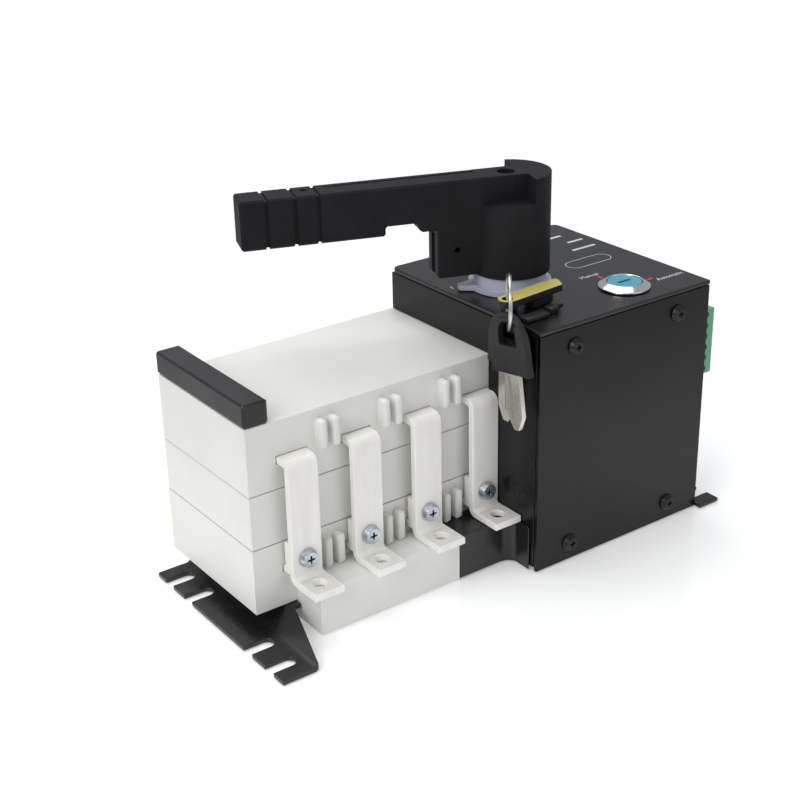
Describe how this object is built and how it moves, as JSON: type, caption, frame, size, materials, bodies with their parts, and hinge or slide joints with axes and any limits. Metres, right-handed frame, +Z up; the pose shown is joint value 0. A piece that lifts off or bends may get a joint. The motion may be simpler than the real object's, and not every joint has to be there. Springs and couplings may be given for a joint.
{
  "type": "automatic transfer switch",
  "caption": "Changeover switch lying on slotted feet: white pole stack with load bars, black drive box with a turning lift-off handle, padlock slide, keys, key switch and green terminal plug.",
  "frame": {"origin": "centre of the footprint, on the floor the feet stand on", "axes": "+X from the pole stack to the drive box, +Y from the load tabs to the supply terminals, +Z up"},
  "size_m": [0.2356, 0.1122, 0.16],
  "materials": {
    "white_moulding": "satin white moulding",
    "black_moulding": "satin black moulding",
    "black_paint": "black semi-gloss paint on sheet steel",
    "tinned_copper": "silver-plated copper, satin",
    "zinc_screw": "zinc plated",
    "copper": "bare copper",
    "black_screw": "black oxide",
    "bright_steel": "bright steel",
    "board_green": "solder mask",
    "green_plastic": "satin green",
    "chrome": "polished",
    "blue_face": "satin blue",
    "handle_black": "fine-grained black",
    "lavender_plastic": "translucent grey-violet",
    "yellow_plastic": "satin yellow"
  },
  "bodies": {
    "frame": {"pole_base_moulding": "white_moulding", "pole_middle_moulding": "white_moulding", "pole_top_moulding": "white_moulding", "end_bar": "black_moulding", "lock_guide": "black_moulding", "link_side_block": "black_paint", "left_foot": "black_paint", "drive_base_plate": "black_paint", "drive_housing": "black_paint", "top_cover": "black_paint", "front_plate": "black_paint", "load_link_1": "tinned_copper", "load_link_2": "tinned_copper", "load_link_3": "tinned_copper", "load_link_4": "tinned_copper", "load_terminal_1": "tinned_copper", "load_terminal_2": "tinned_copper", "load_terminal_3": "tinned_copper", "load_terminal_4": "tinned_copper", "supply_upper_1": "tinned_copper", "supply_upper_2": "tinned_copper", "supply_upper_3": "tinned_copper", "supply_upper_4": "tinned_copper", "supply_lower_1": "tinned_copper", "supply_lower_2": "tinned_copper", "supply_lower_3": "tinned_copper", "supply_lower_4": "tinned_copper", "load_screw_1": "zinc_screw", "load_screw_2": "zinc_screw", "load_screw_3": "zinc_screw", "load_screw_4": "zinc_screw", "front_screw_1": "black_screw", "front_screw_2": "black_screw", "front_screw_3": "black_screw", "front_screw_4": "black_screw", "drive_solenoid": "bright_steel", "control_board": "board_green", "terminal_header": "green_plastic", "key_switch_body": "chrome"},
    "shaft": {"drive_shaft": "bright_steel", "indicator_ring": "lavender_plastic"},
    "handle_body": {"handle": "handle_black"},
    "upper_carrier": {"upper_contact_carrier": "black_moulding", "upper_moving_contact_1": "copper", "upper_moving_contact_2": "copper", "upper_moving_contact_3": "copper", "upper_moving_contact_4": "copper"},
    "lower_carrier": {"lower_contact_carrier": "black_moulding", "lower_moving_contact_1": "copper", "lower_moving_contact_2": "copper", "lower_moving_contact_3": "copper", "lower_moving_contact_4": "copper"},
    "link": {"drive_link": "bright_steel"},
    "plunger": {"solenoid_plunger": "bright_steel"},
    "slide": {"lock_slide": "yellow_plastic"},
    "ring": {"key_ring": "bright_steel"},
    "front_key": {"key_front": "black_moulding"},
    "rear_key": {"key_rear": "black_moulding"},
    "switch_cylinder": {"key_switch_cylinder": "blue_face"},
    "plug": {"terminal_plug": "green_plastic"}
  },
  "joints": [
    {"name": "handle_turn", "type": "hinge", "parent": "frame", "child": "shaft", "pos_m": [0.0363, -0.003, 0.1098], "axis": [0, 0, 1], "range_deg": [-25, 65]},
    {"name": "handle_lift", "type": "slide", "parent": "shaft", "child": "handle_body", "axis": [0, 0, 1], "range_m": [0, 0.03]},
    {"name": "upper_carrier_turn", "type": "hinge", "parent": "frame", "child": "upper_carrier", "pos_m": [0.0181, 0.0139, 0.0698], "axis": [1, 0, 0], "range_deg": [-32.6, 12.6]},
    {"name": "lower_carrier_turn", "type": "hinge", "parent": "frame", "child": "lower_carrier", "pos_m": [0.0181, 0.0139, 0.0292], "axis": [1, 0, 0], "range_deg": [-32.6, 12.6]},
    {"name": "link_slide", "type": "slide", "parent": "frame", "child": "link", "axis": [0, 1, 0], "range_m": [-0.0103, 0.004]},
    {"name": "plunger_slide", "type": "slide", "parent": "frame", "child": "plunger", "axis": [0, 1, 0], "range_m": [-0.0048, 0.0123]},
    {"name": "lock_slide_pull", "type": "slide", "parent": "frame", "child": "slide", "axis": [-0.9962, -0.0872, 0], "range_m": [0, 0.006]},
    {"name": "key_ring_swing", "type": "hinge", "parent": "slide", "child": "ring", "pos_m": [0.0121, -0.0303, 0.1157], "axis": [-0.8, 0.6, 0], "range_deg": [0, 9]},
    {"name": "key_front_swing", "type": "hinge", "parent": "ring", "child": "front_key", "pos_m": [0.0033, -0.04203, 0.10932], "axis": [1, 0, 0], "range_deg": [-25, 0]},
    {"name": "key_rear_swing", "type": "hinge", "parent": "ring", "child": "rear_key", "pos_m": [0.0075, -0.03643, 0.10887], "axis": [1, 0, 0], "range_deg": [-25, 0]},
    {"name": "key_switch_turn", "type": "hinge", "parent": "frame", "child": "switch_cylinder", "pos_m": [0.0718, -0.0359, 0.1098], "axis": [0, 0, 1], "range_deg": [0, 90]},
    {"name": "plug_pull", "type": "slide", "parent": "frame", "child": "plug", "axis": [1, 0, 0], "range_m": [0, 0.012]}
  ],
  "couplings": [
    {"joint": "upper_carrier_turn", "follows": "handle_turn", "ratio": -0.5},
    {"joint": "lower_carrier_turn", "follows": "handle_turn", "ratio": -0.5},
    {"joint": "link_slide", "follows": "handle_turn", "m_per_rad": -0.009},
    {"joint": "plunger_slide", "follows": "handle_turn", "m_per_rad": 0.0108}
  ]
}
